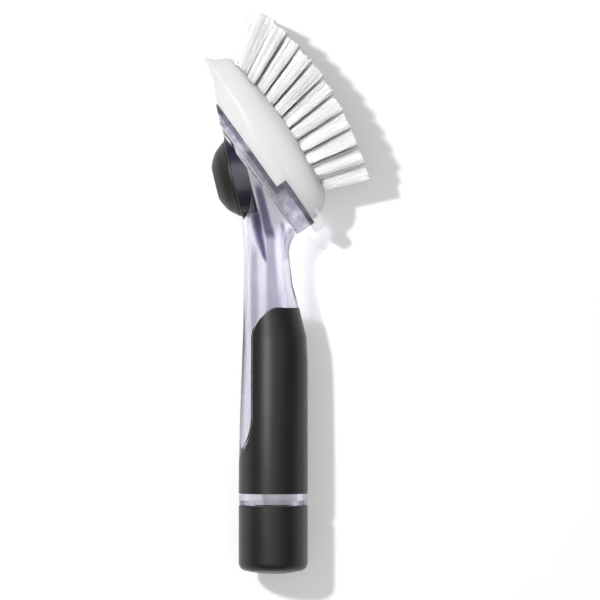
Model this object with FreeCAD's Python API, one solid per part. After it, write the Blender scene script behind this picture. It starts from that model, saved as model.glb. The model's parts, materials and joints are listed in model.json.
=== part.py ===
import FreeCAD, Part
import math
import os

# A soap-dispensing dish wand, lying on its side, in millimetres.
# The origin is the middle of the cap's end face. +Y runs up the handle to the head,
# +X points to the bristle side and +Z is up, across the handle.

V = FreeCAD.Vector
X_AXIS = V(1, 0, 0)
Y_AXIS = V(0, 1, 0)
Z_AXIS = V(0, 0, 1)

# Clearances
seat_gap = 0.05
move_gap = 0.3
thread_gap = 0.9

# Handle, from the cap upwards
handle_radius = 16.5
ring_length = 5.6
ring_step = 0.2
grip_length = 88.7
grip_thickness = 2.0
handle_wall = 2.3
shoulder_y = 105.0
neck_y = 150.5
neck_front = 7.8
neck_back = 14.0
neck_half_width = 12.2
mouth_inset = 6.7
mouth_wall = 1.8
mouth_length = 14.5

# Clear window at the back of the grip
window_edge = 9.8
window_top_radius = 15.0
window_foot_y = 55.0
window_foot_rise = 21.0

# End cap
cap_length = 32.6
cap_skin = 2.2
cap_floor = 3.0
cap_edge_radius = 4.0
cap_pad_radius = 6.0
cap_dome_rise = 1.2
cap_dome_middle = 0.5
dimple_height = 22.9
dimple_length = 4.6
dimple_width = 3.2
dimple_depth = 0.6
seal_thickness = 2.0

# Head: the rim plane is where the plate meets the brush base
head_tilt = 35.5
rim_centre_x = -5.6
rim_centre_y = 194.75
plate_length = 73.0
plate_width = 46.0
plate_rim = 4.2
plate_web = 2.2
head_wall = 2.4
cup_toe = 28.0
cup_heel = 36.2
cup_half_width = 20.5
knee_x = 15.3
knee_y = 174.0
head_swell = 0.75

# Latch block on the plate
block_start = 13.0
block_height = 5.0

# Soap button
button_along = 15.0
button_radius = 18.2
button_height = 9.0
button_dish = 0.4
button_foot = 0.5
button_skin = 2.0
button_well_radius = 9.4
button_skirt = 8.0
button_travel = 3.5
button_oval = 0.8
collar_width = 0.9
collar_height = 0.6
collar_edge = 0.2
collar_depth = 2.0
flange_width = 0.8
flange_thickness = 1.6
pod_wall = 2.0
pod_depth = 13.0

# Slit valve in the plate
valve_hole_radius = 4.5
valve_flange_radius = 6.2
valve_flange = 1.2
valve_skin = 0.8
slit_length = 4.0
slit_width = 0.3
ring_radius = 8.2
ring_height = 3.2

# Brush base, measured from the rim plane
base_height = 20.8
base_half_width = 23.5
base_toe = 36.5
base_heel = 34.6
base_rim_half_width = 22.3
base_wall = 3.0
pocket_depth = 7.0
crown_radius = 260.0
crown_along = -14.0
rib_thickness = 1.8
soap_hole_radius = 2.6
scraper_reach = 58.0
scraper_out = 7.4
scraper_lip = 0.9
finger_root = 26.0
finger_end = 41.0
finger_half_width = 5.0
finger_thickness = 2.8
finger_hook = 2.4
finger_rounding = 1.3
finger_slot = 1.8
finger_slot_from = 31.1

# Tufts
tuft_columns = 11
tuft_first = -42.5
tuft_pitch = 6.67
row_pitch = 5.2
row_counts = [8, 10, 11, 11, 11, 10, 8]
soap_column = 5
hole_half_length = 2.1
hole_depth = 6.0
fan_along = -1.8
fan_radius = 72.0
splay_radius = 160.0
tuft_length = 28.4
tuft_trim = 5.2
tuft_trim_from = -14.0
tuft_tip_half_length = 4.0
tuft_shape = 0.75
tuft_sides = 6
anchor_height = 1.6
anchor_width = 2.4
anchor_thickness = 0.4

# Values that follow from the sizes above
ring_top = cap_length + ring_length
grip_top = ring_top + grip_length
mouth_foot = cap_length - mouth_length
mouth_radius = handle_radius - mouth_inset
mouth_outer = mouth_radius + mouth_wall
cap_top = cap_length - move_gap
core_radius = handle_radius - cap_skin - seat_gap
core_bore = mouth_outer + thread_gap
core_foot = cap_floor + seat_gap
seal_foot = mouth_foot - seal_thickness
tilt = math.radians(head_tilt)
heelward = V(math.sin(tilt), -math.cos(tilt), 0)
outward = V(math.cos(tilt), math.sin(tilt), 0)
rim_centre = V(rim_centre_x, rim_centre_y, 0)
half_plate = plate_length / 2
valve_along = tuft_first + soap_column * tuft_pitch
finger_low = block_height + move_gap
finger_top = finger_low + finger_thickness
middle_row = len(row_counts) // 2
FAR = 400.0
HANDLE_STEPS = 9
FAN_STEPS = 8
FAN_SPACING = 0.7


def head_point(along, out, across=0.0):
    """A point given along the head, out towards the bristles and across it."""
    return rim_centre + heelward * along + outward * out + Z_AXIS * across


def head_placed(shape):
    """Move a shape drawn in head coordinates (along, out, across) to its place."""
    place = FreeCAD.Placement(rim_centre, FreeCAD.Rotation(Z_AXIS, head_tilt - 90))
    placed = shape.copy()
    placed.Placement = place * shape.Placement
    return placed


def ease(value, start, end):
    """A smooth step from 0 at start to 1 at end."""
    share = min(max((value - start) / (end - start), 0.0), 1.0)
    return (1 - math.cos(math.pi * share)) / 2


def blend(first, last, share):
    return first + (last - first) * share


def line(start, end):
    return Part.makeLine(V(*start), V(*end))


def arc(start, middle, end):
    return Part.Arc(V(*start), V(*middle), V(*end)).toShape()


def turned(edges):
    """A solid turned about Y from the edges of a closed section, radius along X."""
    return Part.Face(Part.Wire(edges)).revolve(V(0, 0, 0), Y_AXIS, 360)


def turned_corners(corners):
    points = [V(radius, y, 0) for radius, y in corners]
    return turned(Part.makePolygon(points + points[:1]).Edges)


def prism(edges, half_height):
    """A straight prism across Z, the same height on both sides, from edges in XY."""
    face = Part.Face(Part.Wire(edges))
    face.translate(V(0, 0, -half_height))
    return face.extrude(V(0, 0, 2 * half_height))


def corner_edges(corners):
    points = [V(x, y, 0) for x, y in corners]
    return Part.makePolygon(points + points[:1]).Edges


def oval_wire(centre, along, half_along, half_across, power=2.0, count=8):
    """A closed smooth oval: one half-length along a direction, the other along Z."""
    points = []
    for step in range(count):
        angle = 2 * math.pi * step / count
        c = math.cos(angle)
        s = math.sin(angle)
        a = math.copysign(abs(c) ** (2 / power), c) * half_along
        b = math.copysign(abs(s) ** (2 / power), s) * half_across
        points.append(centre + along * a + Z_AXIS * b)
    curve = Part.BSplineCurve()
    curve.interpolate(points, PeriodicFlag=True)
    return Part.Wire([curve.toShape()])


# The outer form of handle and head is one loft. Up to the neck its sections are
# square to the handle, and above it they fan about a pivot outside the heel.

crease_centre = head_point(0, -plate_rim)
pivot_along = (crease_centre.y - neck_y) / math.cos(tilt)
pivot = crease_centre + heelward * pivot_along
cup_toe_point = crease_centre - heelward * cup_toe
neck_back_point = V(-neck_back, neck_y, 0)
knee_point = V(-knee_x, knee_y, 0)
wall_line = (cup_toe_point - knee_point).normalize()
wall_normal = V(-wall_line.y, wall_line.x, 0)


def ray_meets(direction, start, end):
    """Distance from the pivot, along a direction, to the line from start to end."""
    span = end - start
    gap = start - pivot
    cross = direction.x * span.y - direction.y * span.x
    return (gap.x * span.y - gap.y * span.x) / cross


def handle_section(y, inset):
    front = blend(handle_radius, neck_front, ease(y, shoulder_y, neck_y))
    back = blend(handle_radius, neck_back, ease(y, ring_top, neck_y))
    half_width = blend(handle_radius, neck_half_width, ease(y, ring_top, neck_y))
    centre = V((front - back) / 2, y, 0)
    return oval_wire(centre, X_AXIS, (front + back) / 2 - inset, half_width - inset)


def fan_section(share, inset):
    angle = math.pi - share * (math.pi / 2 - tilt)
    direction = V(math.cos(angle), math.sin(angle), 0)
    near = blend(pivot.x - neck_front, pivot_along - cup_heel, share)
    knee_angle = math.atan2(knee_y - neck_y, -knee_x - pivot.x)
    if angle > knee_angle:
        far = ray_meets(direction, neck_back_point, knee_point)
    else:
        far = ray_meets(direction, knee_point, cup_toe_point)
    neck_depth = neck_front + neck_back
    growth = (far - near - neck_depth) / (cup_toe + cup_heel - neck_depth)
    half_width = blend(neck_half_width, cup_half_width, max(growth, 0) ** head_swell)
    centre = pivot + direction * ((near + far) / 2)
    return oval_wire(centre, direction * -1, (far - near) / 2 - inset, half_width - inset)


def handle_form(inset_below, inset_above):
    """The loft of the whole outer form, drawn in by a wall below and above the neck."""
    wires = []
    for step in range(HANDLE_STEPS + 1):
        y = blend(ring_top, neck_y, step / HANDLE_STEPS)
        inset = blend(inset_below, inset_above, ease(y, shoulder_y, neck_y))
        wires.append(handle_section(y, inset))
    for step in range(1, FAN_STEPS + 1):
        wires.append(fan_section((step / FAN_STEPS) ** FAN_SPACING, inset_above))
    return Part.makeLoft(wires, True, True)


def grip_region(gap):
    """All that the grip covers, seen from the side, as a prism across the handle."""
    low = ring_top + seat_gap - gap
    high = grip_top + gap
    edge = -window_edge - gap
    right = 2 * handle_radius
    left = -right
    skin = -handle_radius - gap
    foot_top = window_foot_y + window_foot_rise
    top_end = high - window_top_radius
    top_start = edge + window_top_radius
    corner = window_top_radius * (1 - math.sqrt(0.5))
    # The window's foot is an arc that leaves the edge upright and ends on the skin
    depth = edge - skin
    sweep = (depth ** 2 + window_foot_rise ** 2) / (2 * depth)
    half_turn = math.asin(window_foot_rise / sweep) / 2
    foot_middle = (edge - sweep * (1 - math.cos(half_turn)), foot_top - sweep * math.sin(half_turn), 0)
    edges = [
        line((right, low, 0), (right, high, 0)),
        line((right, high, 0), (top_start, high, 0)),
        arc((top_start, high, 0), (edge + corner, high - corner, 0), (edge, top_end, 0)),
        line((edge, top_end, 0), (edge, foot_top, 0)),
        arc((edge, foot_top, 0), foot_middle, (skin, window_foot_y, 0)),
        line((skin, window_foot_y, 0), (left, window_foot_y, 0)),
        line((left, window_foot_y, 0), (left, low, 0)),
        line((left, low, 0), (right, low, 0)),
    ]
    return prism(edges, 2 * handle_radius)


# The button works in an oval pod whose flat top lies along the back wall.

button_place = knee_point + wall_line * button_along
collar_radius = button_radius + move_gap + collar_width
flange_radius = button_radius + flange_width
pod_bore = collar_radius + seat_gap
press_depth = -wall_normal.dot(outward) * button_travel


def button_placed(shape):
    """Squeeze a round shape drawn about Y to the oval and set it on the back wall."""
    squeeze = FreeCAD.Matrix()
    squeeze.scale(1, 1, button_oval)
    oval = shape.transformGeometry(squeeze)
    oval.Placement = FreeCAD.Placement(button_place, FreeCAD.Rotation(Y_AXIS, wall_normal))
    return oval


def behind_plane(out):
    """A big block on the handle's side of a plane parallel to the rim."""
    return head_placed(Part.makeBox(FAR, FAR, FAR, V(-FAR / 2, out - FAR, -FAR / 2)))


def button_cylinder(radius, low, high):
    return button_placed(Part.makeCylinder(radius, high - low, V(0, low, 0), Y_AXIS))


def make_handle_ring():
    """The clear ring under the grip, with the filler mouth that the cap screws on."""
    outer = handle_radius - ring_step
    chamber = outer - grip_thickness - handle_wall
    shoulder = cap_length + handle_wall
    return turned_corners([
        (mouth_radius, mouth_foot),
        (mouth_outer, mouth_foot),
        (mouth_outer, cap_length),
        (outer, cap_length),
        (outer, ring_top),
        (chamber, ring_top),
        (chamber, shoulder),
        (mouth_radius, shoulder),
    ])


def make_handle_body():
    cavity = handle_form(grip_thickness + handle_wall, head_wall)
    under_grip = handle_form(grip_thickness + seat_gap, grip_thickness + seat_gap)
    recess = grip_region(seat_gap).cut(under_grip)
    pod = button_cylinder(pod_bore + pod_wall, -pod_depth, 0).common(behind_plane(-plate_rim))
    bore = button_cylinder(pod_bore, -2 * pod_depth, pod_depth)
    shell = handle_form(0, 0).fuse(pod).cut(cavity).cut(bore).cut(recess)
    return shell.fuse(make_handle_ring())


def make_grip_sleeve():
    shell = handle_form(0, 0).cut(handle_form(grip_thickness, grip_thickness))
    return shell.common(grip_region(0))


def plate_oval(inset, low, high):
    """The plate's outline drawn in by a wall, as a disc between two levels."""
    wire = oval_wire(V(0, low, 0), X_AXIS, half_plate - inset, plate_width / 2 - inset)
    return Part.Face(wire).extrude(V(0, high - low, 0))


def heel_side(start, low, high):
    return Part.makeBox(FAR, high - low, FAR, V(start, low, -FAR / 2))


def make_head_plate():
    ceiling = block_height - plate_web
    block = plate_oval(0, -plate_web, block_height)
    block = block.common(heel_side(block_start, -plate_web, block_height))
    hollow = plate_oval(head_wall, -plate_rim, ceiling)
    hollow = hollow.common(heel_side(block_start + head_wall, -plate_rim, ceiling))
    hole = Part.makeCylinder(valve_hole_radius, 2 * plate_rim, V(valve_along, -plate_rim, 0), Y_AXIS)
    plate = plate_oval(0, -plate_rim, 0).fuse(block)
    plate = plate.cut(plate_oval(head_wall, -plate_rim, -plate_web)).cut(hollow).cut(hole)
    past_wall = Part.makeBox(FAR, FAR, FAR, V(-FAR / 2, 0, -FAR / 2))
    past_wall.Placement = FreeCAD.Placement(cup_toe_point, FreeCAD.Rotation(Y_AXIS, wall_normal))
    return head_placed(plate).cut(past_wall)


def valve_placed(shape):
    """Set a shape drawn about Y over the plate's valve hole."""
    moved = shape.copy()
    moved.translate(V(valve_along, 0, 0))
    return head_placed(moved)


def make_outlet_valve():
    neck = valve_hole_radius - seat_gap
    bowl = neck - valve_skin
    foot = -plate_web
    valve = turned([
        line((valve_flange_radius, 0, 0), (valve_flange_radius, valve_flange, 0)),
        line((valve_flange_radius, valve_flange, 0), (bowl, valve_flange, 0)),
        line((bowl, valve_flange, 0), (bowl, foot + valve_skin, 0)),
        line((bowl, foot + valve_skin, 0), (0, foot + valve_skin, 0)),
        line((0, foot + valve_skin, 0), (0, foot, 0)),
        line((0, foot, 0), (neck, foot, 0)),
        line((neck, foot, 0), (neck, 0, 0)),
        line((neck, 0, 0), (valve_flange_radius, 0, 0)),
    ])
    for length, width in ((slit_length, slit_width), (slit_width, slit_length)):
        slit = Part.makeBox(length, plate_rim, width, V(-length / 2, -plate_rim, -width / 2))
        valve = valve.cut(slit)
    return valve_placed(valve)


def make_valve_ring():
    pocket = valve_flange_radius + seat_gap
    step = valve_flange + seat_gap
    return valve_placed(turned_corners([
        (valve_hole_radius, step),
        (pocket, step),
        (pocket, 0),
        (ring_radius, 0),
        (ring_radius, ring_height),
        (valve_hole_radius, ring_height),
    ]))


# The dome's section between its foot and its top, as shares of the radius and the height.

BUTTON_PROFILE = [
    (0.955, 0.24),
    (0.81, 0.58),
    (0.64, 0.82),
    (0.44, 1.00),
]


def button_dome():
    """The dome's section as a spline from its foot to the dished top."""
    points = [V(button_radius, button_foot, 0)]
    for radius_share, height_share in BUTTON_PROFILE:
        points.append(V(button_radius * radius_share, button_height * height_share, 0))
    points.append(V(0, button_height - button_dish, 0))
    curve = Part.BSplineCurve()
    curve.interpolate(points, InitialTangent=Y_AXIS, FinalTangent=X_AXIS * -1)
    return curve.toShape()


def make_soap_button():
    flange_foot = -collar_depth - seat_gap - flange_thickness
    inner = button_radius - button_skin
    top = button_height - button_dish
    ceiling = top - button_skin
    outside = turned([
        line((0, -button_skirt, 0), (button_radius, -button_skirt, 0)),
        line((button_radius, -button_skirt, 0), (button_radius, button_foot, 0)),
        button_dome(),
        line((0, top, 0), (0, -button_skirt, 0)),
    ])
    inside = turned_corners([
        (0, -2 * button_skirt),
        (inner, -2 * button_skirt),
        (inner, button_foot),
        (button_well_radius, ceiling),
        (0, ceiling),
    ])
    flange = Part.makeCylinder(flange_radius, flange_thickness, V(0, flange_foot, 0), Y_AXIS)
    button = button_placed(outside.fuse(flange).cut(inside))
    return button.common(behind_plane(-plate_web - press_depth - move_gap))


def make_button_collar():
    bore = button_radius + move_gap
    collar = turned_corners([
        (bore, -collar_depth),
        (collar_radius, -collar_depth),
        (collar_radius, collar_edge),
        (bore, collar_height),
    ])
    return button_placed(collar).common(behind_plane(-plate_web - move_gap))


# The brush base is a loft of ovals stacked out from the rim, with a crowned face. Each
# level gives its distance out, its reach to the toe and to the heel, and its half-width.
# The level that reaches furthest is the scraper lip.

BASE_LEVELS = [
    (0.0, base_toe, base_heel, base_rim_half_width),
    (2.6, 42.7, base_heel, 23.1),
    (4.9, 46.1, base_heel, base_half_width),
    (scraper_out, scraper_reach, base_heel, base_half_width),
    (scraper_out + scraper_lip, scraper_reach, base_heel, base_half_width),
    (11.5, 54.3, 34.0, 23.3),
    (14.2, 52.8, 32.2, 22.8),
    (16.6, 51.6, 29.4, 22.0),
    (18.2, 49.6, 25.6, 20.8),
    (19.2, 46.4, 22.0, 19.8),
    (21.2, 36.0, 12.0, 18.0),
]


def crown_level(along):
    return base_height - crown_radius + math.sqrt(crown_radius ** 2 - (along - crown_along) ** 2)


def base_form():
    wires = []
    for out, toe, heel, half_width in BASE_LEVELS:
        centre = V((heel - toe) / 2, out, 0)
        wires.append(oval_wire(centre, X_AXIS, (heel + toe) / 2, half_width, power=2.5, count=16))
    loft = Part.makeLoft(wires, True, True)
    axis_foot = V(crown_along, base_height - crown_radius, -FAR / 2)
    return loft.common(Part.makeCylinder(crown_radius, FAR, axis_foot, Z_AXIS))


def latch_finger():
    """The springy finger at the heel, hooked over the end of the plate."""
    catch = half_plate + move_gap
    finger = prism(corner_edges([
        (finger_root, finger_low),
        (catch, finger_low),
        (catch, finger_hook),
        (finger_end, finger_hook),
        (finger_end, finger_top),
        (finger_root, finger_top),
    ]), finger_half_width)
    tip_edges = []
    for edge in finger.Edges:
        middle = edge.CenterOfMass
        if abs(middle.x - finger_end) < seat_gap and abs(middle.z) < seat_gap:
            tip_edges.append(edge)
    return finger.makeFillet(finger_rounding, tip_edges)


def base_pocket():
    """The hollow behind the tuft plate, split by ribs that frame the valve."""
    end = block_start - move_gap - base_wall
    wire = oval_wire(V(0, 0, 0), X_AXIS, base_toe - base_wall, base_rim_half_width - base_wall)
    pocket = Part.Face(wire).extrude(V(0, pocket_depth, 0))
    pocket = pocket.cut(heel_side(end, 0, pocket_depth))
    frame = ring_radius + move_gap + rib_thickness
    for side in (-1, 1):
        at = side * frame - rib_thickness / 2
        along_rib = Part.makeBox(FAR, pocket_depth, rib_thickness, V(-FAR / 2, 0, at))
        across_rib = Part.makeBox(rib_thickness, pocket_depth, FAR, V(valve_along + at, 0, -FAR / 2))
        pocket = pocket.cut(along_rib).cut(across_rib)
    return pocket


def flat_face(points):
    return Part.Face(Part.makePolygon(points + points[:1]))


def flat_sided(rings):
    """A solid with flat sides between rings of matching points, closed at both ends."""
    faces = [flat_face(rings[0]), flat_face(rings[-1])]
    for low, high in zip(rings, rings[1:]):
        for corner in range(len(low)):
            faces.append(flat_face([low[corner - 1], low[corner], high[corner], high[corner - 1]]))
    return Part.Solid(Part.Shell(faces))


class Tuft:
    """Where one tuft stands: its root on the crowned face and the way it points."""

    def __init__(self, column, row):
        self.along = tuft_first + column * tuft_pitch
        self.across = (row - middle_row) * row_pitch
        self.root = V(self.along, crown_level(self.along), self.across)
        lean = (self.along - fan_along) / fan_radius
        self.way = V(lean, 1, self.across / splay_radius).normalize()
        self.side = V(self.way.y, -self.way.x, 0).normalize()
        self.depth_way = self.side.cross(self.way)
        trimmed = max(self.along - tuft_trim_from, 0) / (tuft_pitch * tuft_columns / 2)
        self.length = tuft_length - tuft_trim * trimmed

    def ring(self, level, half_length):
        points = []
        for step in range(tuft_sides):
            angle = 2 * math.pi * step / tuft_sides
            sideways = self.side * (half_length * math.cos(angle))
            across = self.depth_way * (half_length * tuft_shape * math.sin(angle))
            points.append(self.root + self.way * level + sideways + across)
        return points

    def hole(self):
        return flat_sided([self.ring(level, hole_half_length) for level in (-hole_depth, hole_depth)])

    def bundle(self):
        foot = anchor_height + seat_gap - hole_depth
        half_length = hole_half_length - seat_gap / tuft_shape
        return flat_sided([
            self.ring(foot, half_length),
            self.ring(0, half_length),
            self.ring(self.length, tuft_tip_half_length),
        ])

    def anchor(self):
        corner = V(-anchor_width / 2, 0, -anchor_thickness / 2)
        staple = Part.makeBox(anchor_width, anchor_height, anchor_thickness, corner)
        foot = self.root - self.way * hole_depth
        turn = FreeCAD.Rotation(self.side, self.way, self.depth_way, "YXZ")
        staple.Placement = FreeCAD.Placement(foot, turn)
        return staple


def tuft_rows():
    """The tufts of each row, leaving out the one that the soap hole takes."""
    rows = []
    soap_place = (soap_column, middle_row)
    for row, count in enumerate(row_counts):
        first = (tuft_columns - count) // 2
        columns = range(first, first + count)
        rows.append([Tuft(column, row) for column in columns if (column, row) != soap_place])
    return rows


def make_brush_base(rows):
    step = heel_side(block_start - move_gap, -FAR / 2, finger_low)
    slot = heel_side(finger_slot_from, finger_top, finger_top + finger_slot)
    soap_hole = Part.makeCylinder(soap_hole_radius, FAR / 4, V(valve_along, 0, 0), Y_AXIS)
    base = base_form().cut(step).cut(slot).fuse(latch_finger())
    base = base.cut(base_pocket()).cut(soap_hole)
    holes = [tuft.hole() for row in rows for tuft in row]
    return head_placed(base.cut(holes))


def make_cap_cover():
    flat = handle_radius - cap_edge_radius
    inner = core_radius + seat_gap
    bend = cap_edge_radius * (1 - math.sqrt(0.5))
    edge_middle = (handle_radius - bend, cap_dome_rise + bend, 0)
    shoulder = cap_dome_rise + cap_edge_radius
    dome_middle = (blend(cap_pad_radius, flat, 0.5), cap_dome_middle, 0)
    cover = turned([
        line((0, 0, 0), (cap_pad_radius, 0, 0)),
        arc((cap_pad_radius, 0, 0), dome_middle, (flat, cap_dome_rise, 0)),
        arc((flat, cap_dome_rise, 0), edge_middle, (handle_radius, shoulder, 0)),
        line((handle_radius, shoulder, 0), (handle_radius, cap_top, 0)),
        line((handle_radius, cap_top, 0), (inner, cap_top, 0)),
        line((inner, cap_top, 0), (inner, cap_floor, 0)),
        line((inner, cap_floor, 0), (0, cap_floor, 0)),
        line((0, cap_floor, 0), (0, 0, 0)),
    ])
    place = V(-handle_radius + dimple_depth, dimple_height, 0)
    outline = oval_wire(place, Y_AXIS, dimple_length / 2, dimple_width / 2)
    return cover.cut(Part.Face(outline).extrude(V(-handle_radius, 0, 0)))


def make_cap_core():
    top = cap_top - move_gap
    return turned_corners([
        (0, core_foot),
        (core_radius, core_foot),
        (core_radius, top),
        (core_bore, top),
        (core_bore, seal_foot),
        (mouth_radius, seal_foot),
        (mouth_radius, core_foot + cap_floor),
        (0, core_foot + cap_floor),
    ])


def make_cap_seal():
    return turned_corners([
        (mouth_radius + seat_gap, seal_foot),
        (core_bore - move_gap, seal_foot),
        (core_bore - move_gap, mouth_foot),
        (mouth_radius + seat_gap, mouth_foot),
    ])


def save(name, shape):
    shape.exportStep("parts/" + name + ".step")
    print(name, len(shape.Solids), "solids", round(shape.Volume, 1), "mm3", shape.isValid())


def main():
    os.makedirs("parts", exist_ok=True)
    rows = tuft_rows()
    save("handle_body", make_handle_body())
    save("grip_sleeve", make_grip_sleeve())
    save("head_plate", make_head_plate())
    save("outlet_valve", make_outlet_valve())
    save("valve_ring", make_valve_ring())
    save("button_collar", make_button_collar())
    save("soap_button", make_soap_button())
    save("brush_base", make_brush_base(rows))
    for number, row in enumerate(rows, 1):
        bundles = Part.makeCompound([tuft.bundle() for tuft in row])
        anchors = Part.makeCompound([tuft.anchor() for tuft in row])
        save("tuft_row_" + str(number), head_placed(bundles))
        save("tuft_anchors_" + str(number), head_placed(anchors))
    save("cap_cover", make_cap_cover())
    save("cap_core", make_cap_core())
    save("cap_seal", make_cap_seal())


main()
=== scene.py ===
# %% [markdown]
# A dish wand lies on its side on a white table, seen from straight above. It has a clear
# hollow handle for soap, a black soft grip, a screw cap, a rubber button and a white brush
# head with fanned bristles. The CAD model is the fixed frame: it gives every size and says
# what moves. This lesson dresses it, one finish and one piece at a time.

import json
import math
import random

import bmesh
import bpy
from mathutils import Matrix, Vector

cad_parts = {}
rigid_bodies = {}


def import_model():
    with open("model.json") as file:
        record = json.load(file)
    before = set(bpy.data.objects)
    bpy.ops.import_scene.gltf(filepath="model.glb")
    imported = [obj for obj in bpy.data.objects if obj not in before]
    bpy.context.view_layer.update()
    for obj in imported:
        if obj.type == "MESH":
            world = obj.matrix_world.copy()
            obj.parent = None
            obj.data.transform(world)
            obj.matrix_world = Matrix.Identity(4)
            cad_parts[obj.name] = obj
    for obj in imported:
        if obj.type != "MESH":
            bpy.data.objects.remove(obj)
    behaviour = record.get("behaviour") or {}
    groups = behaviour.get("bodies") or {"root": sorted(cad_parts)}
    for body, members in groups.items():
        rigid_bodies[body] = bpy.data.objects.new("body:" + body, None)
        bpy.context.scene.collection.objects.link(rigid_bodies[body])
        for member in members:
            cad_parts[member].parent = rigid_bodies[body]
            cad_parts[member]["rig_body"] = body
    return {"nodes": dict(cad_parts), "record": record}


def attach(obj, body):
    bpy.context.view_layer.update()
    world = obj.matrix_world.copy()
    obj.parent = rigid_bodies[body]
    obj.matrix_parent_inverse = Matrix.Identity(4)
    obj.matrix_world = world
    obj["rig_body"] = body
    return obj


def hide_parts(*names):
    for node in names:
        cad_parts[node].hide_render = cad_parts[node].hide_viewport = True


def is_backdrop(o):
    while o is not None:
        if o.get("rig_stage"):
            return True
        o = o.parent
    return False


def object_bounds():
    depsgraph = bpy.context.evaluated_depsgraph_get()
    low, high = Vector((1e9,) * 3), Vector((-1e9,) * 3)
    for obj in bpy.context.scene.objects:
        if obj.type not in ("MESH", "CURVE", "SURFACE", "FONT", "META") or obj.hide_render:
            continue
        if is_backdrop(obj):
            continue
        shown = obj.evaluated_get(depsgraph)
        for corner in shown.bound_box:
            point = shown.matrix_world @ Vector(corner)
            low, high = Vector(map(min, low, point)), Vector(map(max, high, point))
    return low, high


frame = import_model()
cad_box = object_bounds()
nodes = frame["nodes"]
MM = 0.001
print("CAD box in mm:", [[round(x / MM, 1) for x in corner] for corner in cad_box])

# %% [markdown]
# The photograph was taken from straight above and from far away: the gaps between the
# tufts line up through all the rows. The camera could be matched by eye, but two measures
# are enough: the pixel of the cap's end, which is the origin, and the size of one pixel.

# %% Camera
image_width = 600
pixel = 0.478 * MM
origin_px = (273.2, 573.3)
camera_height = 3.0
sensor_width = 36.0

camera_data = bpy.data.cameras.new("camera")
camera_data.sensor_width = sensor_width
camera_data.lens = sensor_width * camera_height / (image_width * pixel)
camera = bpy.data.objects.new("camera", camera_data)
bpy.context.scene.collection.objects.link(camera)
middle_px = image_width / 2
camera.location = (
    (middle_px - origin_px[0]) * pixel,
    (origin_px[1] - middle_px) * pixel,
    camera_height,
)
bpy.context.scene.camera = camera
bpy.context.scene.view_settings.view_transform = "Standard"
print("lens", round(camera_data.lens, 1), "mm")

# %% [markdown]
# Finishes are node graphs. Wiring nodes by hand is slow to write and hard to read, so one
# small class wraps a socket: sums on it add Math nodes, and one method makes any other node.


# %% A class for shader maths
class Signal:
    """A node's output. Operators add Math nodes, and node() adds any other node."""

    def __init__(self, tree, socket=None):
        self.tree = tree
        self.socket = socket

    def node(self, kind, settings=None, inputs=None, out=0):
        made = self.tree.nodes.new("ShaderNode" + kind)
        for name, value in (settings or {}).items():
            if name == "stops":
                self.set_stops(made.color_ramp, value)
            else:
                setattr(made, name, value)
        for name, value in (inputs or {}).items():
            if isinstance(value, Signal):
                self.tree.links.new(value.socket, made.inputs[name])
            else:
                made.inputs[name].default_value = value
        return Signal(self.tree, made.outputs[out] if made.outputs else None)

    def set_stops(self, ramp, stops):
        while len(ramp.elements) < len(stops):
            ramp.elements.new(1.0)
        for element, (place, shade) in zip(ramp.elements, stops):
            element.position = place
            element.color = (shade, shade, shade, 1)

    def maths(self, operation, first, second):
        return self.node("Math", {"operation": operation}, {0: first, 1: second})

    def __add__(self, other):
        return self.maths("ADD", self, other)

    def __radd__(self, other):
        return self.maths("ADD", other, self)

    def __sub__(self, other):
        return self.maths("SUBTRACT", self, other)

    def __rsub__(self, other):
        return self.maths("SUBTRACT", other, self)

    def __mul__(self, other):
        return self.maths("MULTIPLY", self, other)

    def __rmul__(self, other):
        return self.maths("MULTIPLY", other, self)


# %% [markdown]
# Most finishes here are moulded: a colour that drifts a little, a roughness that is never
# quite even, and a fine skin. One flat colour would be simpler, but looks like no real plastic.
# One function makes the base, and each finish sets its own values. Patterns read Object
# coordinates, in metres, so a scale of 1000 is about a millimetre.

# %% A moulded finish
cloud_share = 0.6
cloud_detail = 3.0
skin_share = 0.4
skin_detail = 2.0


def moulded(name, dark, light, rough, bump=0.0, grain=2500.0, drift=60.0, **fixed):
    """A Principled finish with drifting colour and roughness, and a fine bump."""
    finish = bpy.data.materials.new(name)
    finish.use_nodes = True
    tree = finish.node_tree
    shader = tree.nodes["Principled BSDF"]
    for socket, value in fixed.items():
        shader.inputs[socket.replace("_", " ")].default_value = value
    start = Signal(tree)
    place = start.node("TexCoord", out="Object")
    noise = {"Vector": place, "Scale": drift, "Detail": cloud_detail}
    clouds = start.node("TexNoise", {}, noise)
    noise = {"Vector": place, "Scale": grain, "Detail": skin_detail}
    skin = start.node("TexNoise", {}, noise)
    tones = {0: clouds, 6: (*dark, 1), 7: (*light, 1)}
    colour = start.node("Mix", {"data_type": "RGBA"}, tones, 2)
    tree.links.new(colour.socket, shader.inputs["Base Color"])
    roughness = rough[0] + (clouds * cloud_share + skin * skin_share) * (rough[1] - rough[0])
    tree.links.new(roughness.socket, shader.inputs["Roughness"])
    if bump:
        normal = start.node("Bump", {}, {"Height": skin, "Distance": bump})
        tree.links.new(normal.socket, shader.inputs["Normal"])
    return finish


def tint_where(finish, mask, tint):
    """Lay a second colour over a finish where a mask is 1."""
    tree = finish.node_tree
    shader = tree.nodes["Principled BSDF"]
    plain = Signal(tree, shader.inputs["Base Color"].links[0].from_socket)
    mixed = plain.node("Mix", {"data_type": "RGBA"}, {0: mask, 6: plain, 7: (*tint, 1)}, 2)
    tree.links.new(mixed.socket, shader.inputs["Base Color"])


# %% [markdown]
# The handle is a clear plastic that bends light as styrene does, with a violet tint that
# deepens with the way through it. Real light runs through it onto the table. Finding those
# paths takes very many samples, so to shadow rays the plastic is only a thin veil.

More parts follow.
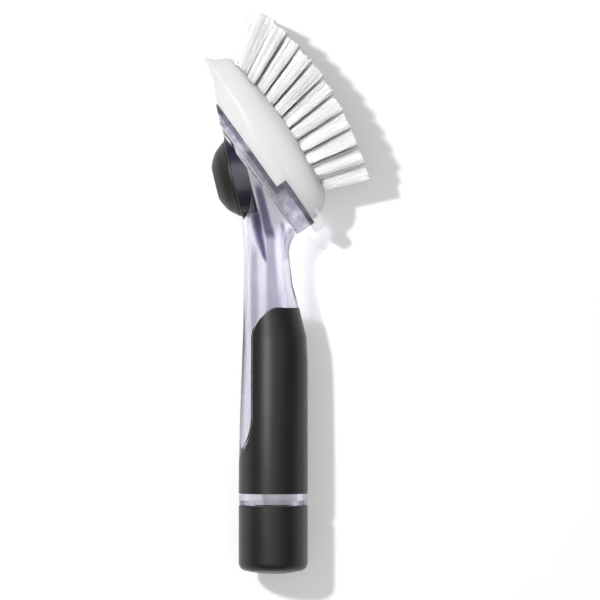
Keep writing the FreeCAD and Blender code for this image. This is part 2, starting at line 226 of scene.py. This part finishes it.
# %% Clear plastic
depth_tint = (0.05, 0.02, 0.2, 1)
shadow_veil = (0.86, 0.86, 0.87, 1)
styrene_ior = 1.5
clear_dark = (0.95, 0.95, 0.965)
clear_light = (0.975, 0.975, 0.985)


def clear_violet(name, density, rough):
    """Clear plastic with a violet tint that deepens with the way through it."""
    finish = moulded(
        name, clear_dark, clear_light, rough, drift=40.0,
        Transmission_Weight=1.0, IOR=styrene_ior,
    )
    tree = finish.node_tree
    depth = Signal(tree).node("VolumeAbsorption", {}, {"Color": depth_tint, "Density": density})
    tree.links.new(depth.socket, tree.nodes["Material Output"].inputs["Volume"])
    shadow_ray = Signal(tree).node("LightPath", out="Is Shadow Ray")
    veil = Signal(tree).node("BsdfTransparent", {}, {"Color": shadow_veil})
    solid = Signal(tree, tree.nodes["Principled BSDF"].outputs[0])
    both = Signal(tree).node("MixShader", {}, {0: shadow_ray, 1: solid, 2: veil})
    tree.links.new(both.socket, tree.nodes["Material Output"].inputs["Surface"])
    return finish


clear_plastic = clear_violet("clear_violet_plastic", density=62.0, rough=(0.01, 0.04))
clear_plate = clear_violet("hazy_violet_plate", density=30.0, rough=(0.18, 0.3))
print("clear plastics:", clear_plastic.name, clear_plate.name)

# %% [markdown]
# The other finishes. The grip and the cap are soft to the touch, a near-black with a wide soft
# sheen. The button is plain rubber. The brush base is a satin white plastic that lets a little
# light in. Each could have a graph of its own, but the moulded base serves them all.

# %% Other finishes
soft_grip = moulded(
    "soft_touch_black", dark=(0.009, 0.009, 0.009), light=(0.014, 0.014, 0.014),
    rough=(0.33, 0.41), bump=0.02 * MM, grain=5000.0, Specular_IOR_Level=0.45,
)
button_rubber = moulded(
    "button_rubber", dark=(0.012, 0.012, 0.011), light=(0.018, 0.018, 0.017),
    rough=(0.36, 0.44), bump=0.03 * MM, grain=4000.0, Specular_IOR_Level=0.4,
)
black_plastic = moulded(
    "moulded_black", dark=(0.016, 0.016, 0.016), light=(0.024, 0.024, 0.024),
    rough=(0.35, 0.5), bump=0.02 * MM,
)
white_plastic = moulded(
    "satin_white_plastic", dark=(0.83, 0.83, 0.83), light=(0.88, 0.88, 0.875),
    rough=(0.28, 0.4), bump=0.01 * MM, grain=1800.0,
    Subsurface_Weight=0.5, Subsurface_Radius=(1, 1, 1), Subsurface_Scale=5.0 * MM,
)
silicone = moulded(
    "milky_silicone", dark=(0.72, 0.72, 0.70), light=(0.80, 0.80, 0.78),
    rough=(0.35, 0.5), bump=0.01 * MM, Transmission_Weight=0.2,
)
staple_wire = moulded(
    "drawn_steel_wire", dark=(0.55, 0.55, 0.56), light=(0.7, 0.7, 0.7),
    rough=(0.25, 0.4), bump=0.01 * MM, grain=4000.0, Metallic=1.0,
)
print("finishes:", len(bpy.data.materials))

# %% [markdown]
# The button is sunk in the head, and through the clear wall its inner end looks navy. The rubber
# is black all through, so that navy is painted shade, with the violet of the wall in it. It could
# be a second piece, but the real button is one, so its rubber takes a second, darker tint on the
# inner side of a plane square to the way that it is pressed.

# %% Inner end of the button
button_place = Vector((-18.84, 188.58, 0)) * MM
button_out = Vector((-0.9718, -0.2359, 0))
# Painted shade: the sunk end of the button is darker and bluer than its rubber.
sunk_painted_shade = (0.003, 0.0025, 0.018)
start = Signal(button_rubber.node_tree)
place = start.node("TexCoord", out="Object")
along_button = {0: place, 1: button_out}
reach = start.node("VectorMath", {"operation": "DOT_PRODUCT"}, along_button, "Value")
sunk_shade_mask = start.maths("LESS_THAN", reach, button_place.dot(button_out))
tint_where(button_rubber, sunk_shade_mask, sunk_painted_shade)
print("navy below", round(button_place.dot(button_out) / MM, 1), "mm along the button")

# %% [markdown]
# Inside the head, the walls throw the dark button back as streaks, and more of them follow the
# walls of the neck and the handle. Bouncing light would need thousands of samples to find them,
# so each streak is a painted reflection: a darker tint in a soft stroke from one point to
# another.

# %% Where the streaks run
# Painted reflection: this tint darkens the clear plastic where its walls would throw dark things
# back.
painted_reflection_tint = (0.30, 0.29, 0.42)
streak_wobble = 1.6 * MM
wobble_scale = 110.0
wobble_detail = 1.0
noise_middle = 0.5
streak_ends = 0.18
streak_core, streak_rim = 0.5, 1.3

# Each streak has a top, a foot and half widths there, in mm, and a strength.
streaks = [
    ((-10.2, 176.0), (-3.2, 147.0), (3.4, 0.5), 0.95),
    ((-7.4, 188.0), (-0.8, 158.5), (1.4, 2.6), 0.75),
    ((4.1, 169.0), (6.4, 153.0), (0.8, 0.6), 0.60),
    ((9.4, 166.0), (6.7, 148.0), (1.4, 0.9), 0.70),
    ((-1.8, 167.0), (1.0, 118.0), (1.6, 4.6), 0.34),
    ((-12.0, 166.0), (-12.9, 116.0), (0.5, 0.6), 0.45),
    ((-9.4, 160.0), (-9.8, 110.0), (1.2, 2.4), 0.42),
    ((-12.7, 122.0), (-15.0, 58.0), (0.6, 0.7), 0.45),
    ((6.0, 150.0), (10.0, 122.0), (0.4, 0.4), 0.40),
]
print("streaks:", len(streaks))

# %% [markdown]
# A stroke is a mask: how far a point lies from the stroke's middle line, against the half width
# there, with soft rims and soft ends. A little noise keeps its sides from looking ruled.


# %% Painted reflections in the clear plastic
def rise(signal, low, high):
    """A smooth step from 0 at one value to 1 at another."""
    span = {"Value": signal, "From Min": low, "From Max": high}
    return signal.node("MapRange", {"interpolation_type": "SMOOTHSTEP"}, span)


def streak(x, y, top, foot, half_widths, strength):
    """The mask of one soft stroke of painted reflection."""
    top, foot, widths = Vector(top) * MM, Vector(foot) * MM, Vector(half_widths) * MM
    share = (top.y - y) * (1 / (top.y - foot.y))
    aside = x - (top.x + share * (foot.x - top.x))
    half = widths[0] + share * (widths[1] - widths[0])
    away = x.maths("ABSOLUTE", aside, 0.0)
    inside = 1 - rise(away, half * streak_core, half * streak_rim)
    ends = rise(share, 0.0, streak_ends) * (1 - rise(share, 1.0 - streak_ends, 1.0))
    return inside * ends * strength


start = Signal(clear_plastic.node_tree)
place = start.node("TexCoord", out="Object")
noise = {"Vector": place, "Scale": wobble_scale, "Detail": wobble_detail}
wobble = start.node("TexNoise", {}, noise) - noise_middle
x = start.node("SeparateXYZ", {}, {0: place}, "X") + wobble * streak_wobble
y = start.node("SeparateXYZ", {}, {0: place}, "Y")
mask = streak(x, y, *streaks[0])
for stroke in streaks[1:]:
    mask = mask + streak(x, y, *stroke)
tint_where(clear_plastic, mask, painted_reflection_tint)
print("nodes in the clear plastic:", len(clear_plastic.node_tree.nodes))

# %% [markdown]
# The plate closes the head. It lies over the valve and the brush base, and what shows through it
# looks mottled. A rougher plate would only blur that evenly, so clouds of a few millimetres, in
# the
# same violet, give the look: painted shade of the parts under the plate, seen bent through it.

# %% Mottled plate
mottle_scale = 240.0
mottle_stops = [(0.36, 0.1), (0.6, 0.9)]
# Painted shade: darker violet clouds for the shaded parts seen through the plate.
mottle_painted_shade = (0.52, 0.50, 0.59)

start = Signal(clear_plate.node_tree)
place = start.node("TexCoord", out="Object")
noise = {"Vector": place, "Scale": mottle_scale, "Detail": cloud_detail}
clouds = start.node("TexNoise", {}, noise)
mottle = start.node("ValToRGB", {"stops": mottle_stops}, {0: clouds})
tint_where(clear_plate, mottle, mottle_painted_shade)
print("clouds about", round(1 / mottle_scale / MM, 1), "mm across")

# %% [markdown]
# The table is a pale disc under the lowest point of the wand. Its colour alone would render
# a light grey, so it also glows a little, but only to the camera and to rays that went
# through glass or off a gloss. The wand's shadow stays in its plain part.

# %% Table
table_radius = 3.0
table_sides = 96
table_glow = 0.29

bm = bmesh.new()
bmesh.ops.create_circle(bm, cap_ends=True, segments=table_sides, radius=table_radius)
bmesh.ops.translate(bm, verts=bm.verts, vec=(0, 0, cad_box[0][2]))
table_mesh = bpy.data.meshes.new("table")
bm.to_mesh(table_mesh)
bm.free()
table = bpy.data.objects.new("table", table_mesh)
bpy.context.scene.collection.objects.link(table)
table_finish = moulded(
    "pale_table", dark=(0.86, 0.86, 0.86), light=(0.87, 0.87, 0.87), rough=(0.85, 0.9),
)
tree = table_finish.node_tree
start = Signal(tree)
camera_ray = start.node("LightPath", out="Is Camera Ray")
glossy_ray = Signal(tree, camera_ray.socket.node.outputs["Is Glossy Ray"])
through_ray = Signal(tree, camera_ray.socket.node.outputs["Is Transmission Ray"])
seen = camera_ray + glossy_ray + through_ray
glow = start.node("Emission", {}, {"Strength": seen * table_glow})
plain = Signal(tree, tree.nodes["Principled BSDF"].outputs[0])
both = start.node("AddShader", {}, {0: plain, 1: glow})
tree.links.new(both.socket, tree.nodes["Material Output"].inputs["Surface"])
table_mesh.materials.append(table_finish)
table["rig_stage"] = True
print("table at", round(cad_box[0][2] / MM, 1), "mm")

# %% [markdown]
# Light. One soft lamp at the upper left throws the shadow to the lower right, as in the
# photograph. An even white room would hide the handle: clear plastic shows its edges only
# where there is something dark to bend into them. So the room is bright overhead and at the
# level of the table, and dark between.

# %% Lamp and room
lamp_way = Vector((-0.468, 0.32, 1.0)).normalized()
lamp_distance = 1.5
lamp_size = 0.09
lamp_level = 0.56

# Each stop has the height that a ray looks up to, from level to overhead, and a brightness.
room_stops = [(0.0, 0.95), (0.14, 0.9), (0.24, 0.1), (0.8, 0.2), (0.95, 0.9), (1.0, 1.0)]
aim = (cad_box[0] + cad_box[1]) / 2

lamp_data = bpy.data.lights.new("soft_lamp", "AREA")
lamp_data.size = lamp_size
lamp_data.energy = lamp_level * math.pi ** 2 * lamp_distance ** 2 / lamp_way.z
lamp = bpy.data.objects.new("soft_lamp", lamp_data)
lamp.location = aim + lamp_way * lamp_distance
lamp.rotation_euler = lamp_way.to_track_quat("Z", "Y").to_euler()
bpy.context.scene.collection.objects.link(lamp)

room = bpy.data.worlds.new("room")
room.use_nodes = True
bpy.context.scene.world = room
tree = room.node_tree
start = Signal(tree)
ray = start.node("TexCoord", out="Generated")
height = start.node("SeparateXYZ", {}, {0: ray}, "Z")
level = start.node("ValToRGB", {"stops": room_stops}, {0: height})
tree.links.new(level.socket, tree.nodes["Background"].inputs["Color"])
print("lamp", round(lamp_data.energy, 1), "W")

# %% [markdown]
# Every piece ends the same way: it takes one finish, rides on the body that it moves with,
# and may stand in for a CAD node. Repeating that for each piece would be long, so one
# helper does it.


# %% Handing over a piece
def finish_piece(piece, body, slot, finish, *replaced):
    """Give a piece its material, the body it moves with and the nodes it stands for."""
    piece.data.materials.clear()
    piece.data.materials.append(finish)
    bpy.context.scene.collection.objects.link(piece)
    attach(piece, body)
    if replaced:
        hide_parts(*replaced)
    print(piece.name, len(piece.data.polygons), "faces")


# %% [markdown]
# A CAD mesh is loose triangles, shaded face by face, and the bands of a lofted skin show.
# A copy with its doubles merged can be shaded smoothly, and only true corners stay sharp.

# %% Smooth copies of CAD nodes
smooth_angle = math.radians(32)
merge_distance = 0.002 * MM


def object_from(bm, name, angle=smooth_angle):
    """A mesh object from a bmesh, smooth apart from edges sharper than an angle."""
    for face in bm.faces:
        face.smooth = True
    for edge in bm.edges:
        edge.smooth = edge.calc_face_angle(math.pi) < angle
    mesh = bpy.data.meshes.new(name)
    bm.to_mesh(mesh)
    bm.free()
    return bpy.data.objects.new(name, mesh)


def smooth_copy(node, name):
    """A copy of a CAD node with its doubles merged and its stored normals dropped."""
    bm = bmesh.new()
    bm.from_mesh(nodes[node].data)
    for layer in list(bm.loops.layers.float_vector.values()):
        bm.loops.layers.float_vector.remove(layer)
    bmesh.ops.remove_doubles(bm, verts=bm.verts, dist=merge_distance)
    piece = object_from(bm, name)
    stale = piece.data.attributes.get("custom_normal")
    if stale:
        piece.data.attributes.remove(stale)
    return piece


slots = {part["node"]: part["material_slot"] for part in frame["record"]["subparts"]}


def dress(node, finish):
    """Stand a smooth copy in for a CAD node, on the same body."""
    piece = smooth_copy(node, node + "_smooth")
    finish_piece(piece, nodes[node]["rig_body"], slots[node], finish, node)


print("nodes with a slot:", len(slots))

# %% [markdown]
# The handle, the head plate, the grip, the cap, the button and the brush base are moulded
# pieces with the right shape already. Building them again here would only risk their fit, so
# they take a smooth copy and a finish. The staples of the tufts take a finish alone.

# %% Pieces that keep their CAD shape
dress("handle_body", clear_plastic)
dress("head_plate", clear_plate)
for node in ("grip_sleeve", "cap_cover"):
    dress(node, soft_grip)
for node in ("soap_button", "button_collar"):
    dress(node, button_rubber)
dress("cap_core", black_plastic)
for node in ("cap_seal", "outlet_valve"):
    dress(node, silicone)
for node in ("valve_ring", "brush_base"):
    dress(node, white_plastic)
for node in nodes:
    if node.startswith("tuft_anchors"):
        nodes[node].data.materials.clear()
        nodes[node].data.materials.append(staple_wire)

# %% [markdown]
# The head is tilted against the handle. Places on it are easier to give along the head, out of
# it and across it, so one matrix turns such a place into the frame's own coordinates.

# %% Frame of the head
head_tilt = math.radians(35.5)
heelward = Vector((math.sin(head_tilt), -math.cos(head_tilt), 0))
outward = Vector((math.cos(head_tilt), math.sin(head_tilt), 0))
across = Vector((0, 0, 1))
rim_centre = Vector((-5.6, 194.75, 0)) * MM
head_turn = Matrix((heelward, outward, across)).transposed().to_4x4()
head_frame = Matrix.Translation(rim_centre) @ head_turn
print("head tilted by", round(math.degrees(head_tilt), 1), "degrees")

# %% [markdown]
# The plate is welded to the head, and along the crease a thin pale line shows right round. That
# line is a painted highlight on a shape: a line painted on the plate would have no edge to catch
# the light, so the seam is a pale ring with a round section, stretched to the head's oval, in the
# corner under the plate.

# %% Weld seam
seam_radius = 0.35 * MM
seam_level = -4.5 * MM
seam_half_length = 32.1 * MM
seam_half_width = 20.5 * MM
seam_along = 4.1 * MM
seam_sides = 8
seam_steps = 96

# Painted highlight: the seam's pale colour makes the bright line along the crease.
painted_highlight_seam = moulded(
    "pale_seam_painted_highlight", dark=(0.84, 0.84, 0.88), light=(0.90, 0.90, 0.93),
    rough=(0.2, 0.3), Transmission_Weight=0.3,
)
bm = bmesh.new()
ring_side = Matrix.Translation((seam_half_width, 0, 0))
bmesh.ops.create_circle(bm, segments=seam_sides, radius=seam_radius, matrix=ring_side)
bmesh.ops.spin(
    bm, geom=bm.verts[:] + bm.edges[:], cent=(0, 0, 0), axis=(0, 1, 0), angle=2 * math.pi,
    steps=seam_steps, use_merge=True,
)
bmesh.ops.recalc_face_normals(bm, faces=bm.faces)
stretch = Matrix.Diagonal((seam_half_length / seam_half_width, 1, 1, 1))
lay = Matrix.Translation((seam_along, seam_level, 0))
bmesh.ops.transform(bm, matrix=head_frame @ lay @ stretch, verts=bm.verts)
finish_piece(object_from(bm, "weld_seam"), "handle", "clear_plastic", painted_highlight_seam)

# %% [markdown]
# The cap screws on. Its thread is too fine for the CAD model, which leaves 0.9 mm between the
# mouth and the cap for it. A thread is one small section carried round and along at once: a
# spin with a step along its axis makes that. Both ridges wind to the right, half a lead apart.

# %% Screw thread
thread_lead = 6.0 * MM
thread_height = 0.6 * MM
thread_root = 1.1 * MM
thread_crest = 0.5 * MM
thread_sink = 0.05 * MM
thread_steps = 48
thread_turns = 1.25


def thread_ridge(name, radius, height, foot):
    """A ridge wound on a cylinder about Y: outside it, or inside for a negative height."""
    bm = bmesh.new()
    top = radius + height
    root = radius - math.copysign(thread_sink, height)
    corners = [
        (root, foot - thread_root, 0), (top, foot - thread_crest, 0),
        (top, foot + thread_crest, 0), (root, foot + thread_root, 0),
    ]
    section = [bm.verts.new(corner) for corner in corners]
    edges = [bm.edges.new((section[i - 1], section[i])) for i in range(len(section))]
    bmesh.ops.spin(
        bm, geom=section + edges, cent=(0, 0, 0), axis=(0, 1, 0),
        dvec=(0, thread_lead / thread_steps, 0), angle=2 * math.pi * thread_turns,
        steps=round(thread_steps * thread_turns),
    )
    bmesh.ops.holes_fill(bm, edges=[edge for edge in bm.edges if edge.is_boundary])
    bmesh.ops.recalc_face_normals(bm, faces=bm.faces)
    return object_from(bm, name)


mouth_outer = 11.6 * MM
cap_bore = 12.5 * MM
thread_foot = 20.5 * MM
ridge = thread_ridge("handle_thread", mouth_outer, thread_height, thread_foot)
finish_piece(ridge, "handle", "clear_plastic", clear_plastic)
ridge = thread_ridge("cap_thread", cap_bore, -thread_height, thread_foot + thread_lead / 2)
finish_piece(ridge, "end_cap", "black_plastic", black_plastic)

# %% [markdown]
# The bristles stand in seven rows of tufts on a crowned face. A tuft leans by its place, so
# that the whole field fans out, and the tuft at the toe is spread wide. The places could be
# read from the CAD tufts, but the rule that set them out is short, so it is used again, in the
# frame of the head.

# %% Sizes of the tuft field
base_height = 20.8 * MM
crown_radius = 260.0 * MM
crown_along = -14.0 * MM
tuft_first = -42.5 * MM
tuft_pitch = 6.67 * MM
row_pitch = 5.2 * MM
row_counts = [8, 10, 11, 11, 11, 10, 8]
columns = 11
soap_place = (5, 3)
fan_along = -1.8 * MM
fan_radius = 72.0 * MM
splay_radius = 160.0 * MM
tuft_length = 28.4 * MM
tuft_trim = 5.2 * MM
tuft_trim_from = -14.0 * MM
tuft_foot = 3.0 * MM
tip_unevenness = 0.5 * MM
tip_reach = cad_box[1][1] - 0.3 * MM

# Each oval has a shift along the head, then half widths along and across it.
root_oval = Vector((0, 2.4, 1.6)) * MM
tip_oval = Vector((0, 3.8, 2.7)) * MM
toe_root_oval = Vector((-0.9, 3.8, 1.6)) * MM
toe_tip_oval = Vector((-2.4, 6.8, 2.7)) * MM
tuft_filaments = 110
toe_filaments = 180
print("tufts in each row:", row_counts)

# %% [markdown]
# A tuft is a root on the crowned face, the way that it points and a length. Towards the heel
# the tufts are trimmed shorter, and one is left out, where the soap comes through the base.


# %% Where the tufts stand
def crown(along):
    """Height of the base's bristle face at a distance along the head."""
    drop = crown_radius - math.sqrt(crown_radius ** 2 - (along - crown_along) ** 2)
    return base_height - drop


class Tuft:
    """The root of one tuft, the way it points and its length, in the head's frame."""

    def __init__(self, column, row):
        along = tuft_first + column * tuft_pitch
        side = (row - len(row_counts) // 2) * row_pitch
        self.root = Vector((along, crown(along), side))
        self.way = Vector(((along - fan_along) / fan_radius, 1, side / splay_radius)).normalized()
        self.aside = Vector((self.way.y, -self.way.x, 0)).normalized()
        self.inward = self.aside.cross(self.way)
        trimmed = max(along - tuft_trim_from, 0) / (tuft_pitch * columns / 2)
        self.length = tuft_length - tuft_trim * trimmed
        at_toe = column == 0
        self.root_oval = toe_root_oval if at_toe else root_oval
        self.tip_oval = toe_tip_oval if at_toe else tip_oval
        self.filaments = toe_filaments if at_toe else tuft_filaments


rows = []
for row, count in enumerate(row_counts):
    first = (columns - count) // 2
    places = [(column, row) for column in range(first, first + count)]
    rows.append([Tuft(*place) for place in places if place != soap_place])
print("tufts:", sum(len(row) for row in rows))

# %% [markdown]
# Each tuft is a bundle of nylon filaments, packed round in its hole and spread at the tips.
# Curves or hair would render well, but the export needs meshes, so a filament is one thin
# prism, one unit long, to be copied and stretched.

# %% One filament
filament_radius = 0.2 * MM
filament_sides = 5

bm = bmesh.new()
bmesh.ops.create_cone(
    bm, cap_ends=True, segments=filament_sides, radius1=1.0, radius2=1.0, depth=1.0,
)
half_unit = (0, 0, 0.5)
bmesh.ops.translate(bm, verts=bm.verts, vec=half_unit)
filament = bpy.data.meshes.new("filament")
bm.to_mesh(filament)
bm.free()
print("a filament has", len(filament.polygons), "faces")

# %% [markdown]
# Nylon filaments are white and a little glossy. Each takes its own shade, kept in a mesh
# attribute, so that a bundle doesn't melt into one block. Light spreads from one filament to
# the next, which the subsurface distance stands for.

# %% Nylon
nylon_dark = (0.58, 0.58, 0.58, 1)
nylon_light = (0.68, 0.68, 0.675, 1)
nylon_rough = (0.3, 0.5)
nylon_spread = 4.5 * MM

nylon = bpy.data.materials.new("white_nylon")
nylon.use_nodes = True
tree = nylon.node_tree
shader = tree.nodes["Principled BSDF"]
start = Signal(tree)
shade = start.node("Attribute", {"attribute_name": "shade"}, out="Fac")
tones = {0: shade, 6: nylon_dark, 7: nylon_light}
colour = start.node("Mix", {"data_type": "RGBA"}, tones, 2)
tree.links.new(colour.socket, shader.inputs["Base Color"])
roughness = nylon_rough[0] + shade * (nylon_rough[1] - nylon_rough[0])
tree.links.new(roughness.socket, shader.inputs["Roughness"])
shader.subsurface_method = "BURLEY"
shader.inputs["Subsurface Weight"].default_value = 1.0
shader.inputs["Subsurface Radius"].default_value = (1, 1, 1)
shader.inputs["Subsurface Scale"].default_value = nylon_spread
print("nylon from", nylon_dark[0], "to", nylon_light[0])

# %% [markdown]
# A filament goes from a point in its hole to the matching point of the tip's oval. Points lie
# closer together towards the edge, because only the outside of a bundle shows. Tips differ a
# little in length, and none passes the top of the CAD box.

# %% A filament in its tuft
bristle_seed = 7
chance = random.Random(bristle_seed)
edge_crowding = 0.36


def disc_point():
    """A random point in a unit disc, closer together towards its edge."""
    radius = chance.random() ** edge_crowding
    angle = chance.random() * 2 * math.pi
    return radius * math.cos(angle), radius * math.sin(angle)


def add_filament(bm, shades, tuft):
    """Stretch a copy of the filament from its hole to its tip, and give it a shade."""
    u, v = disc_point()
    foot = tuft.root - tuft.way * tuft_foot
    shift, wide, deep = tuft.root_oval
    foot += tuft.aside * (shift + u * wide) + tuft.inward * (v * deep)
    tip = tuft.root + tuft.way * (tuft.length - chance.random() * tip_unevenness)
    shift, wide, deep = tuft.tip_oval
    tip += tuft.aside * (shift + u * wide) + tuft.inward * (v * deep)
    foot, tip = head_frame @ foot, head_frame @ tip
    if tip.y > tip_reach:
        tip = foot.lerp(tip, (tip_reach - foot.y) / (tip.y - foot.y))
    way = tip - foot
    turn = way.to_track_quat("Z", "Y").to_matrix().to_4x4()
    scale = Matrix.Diagonal((filament_radius, filament_radius, way.length, 1))
    known = len(bm.verts)
    bm.from_mesh(filament)
    bm.verts.ensure_lookup_table()
    added = bm.verts[known:]
    bmesh.ops.transform(bm, matrix=Matrix.Translation(foot) @ turn @ scale, verts=added)
    tone = chance.random()
    for vert in added:
        vert[shades] = tone


# %% [markdown]
# Each row is one mesh. A mesh for each tuft would look the same, but the CAD model has one node
# for a row of tufts, so one mesh can stand in for one node.

# %% Rows of bristles
filament_angle = math.radians(80)
for number, row in enumerate(rows, 1):
    bm = bmesh.new()
    shades = bm.verts.layers.float.new("shade")
    for tuft in row:
        for _ in range(tuft.filaments):
            add_filament(bm, shades, tuft)
    piece = object_from(bm, "bristles_" + str(number), filament_angle)
    finish_piece(piece, "brush_head", "nylon_tufts", nylon, "tuft_row_" + str(number))

# %% [markdown]
# Both boxes, the CAD box and the visual model's, are printed. The visual model has to
# stay inside the CAD box.

# %% Sizes and finish
boxes = {"cad": cad_box, "visual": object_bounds()}
for name, box in boxes.items():
    print(name, "box in mm:", [[round(x / MM, 1) for x in corner] for corner in box])
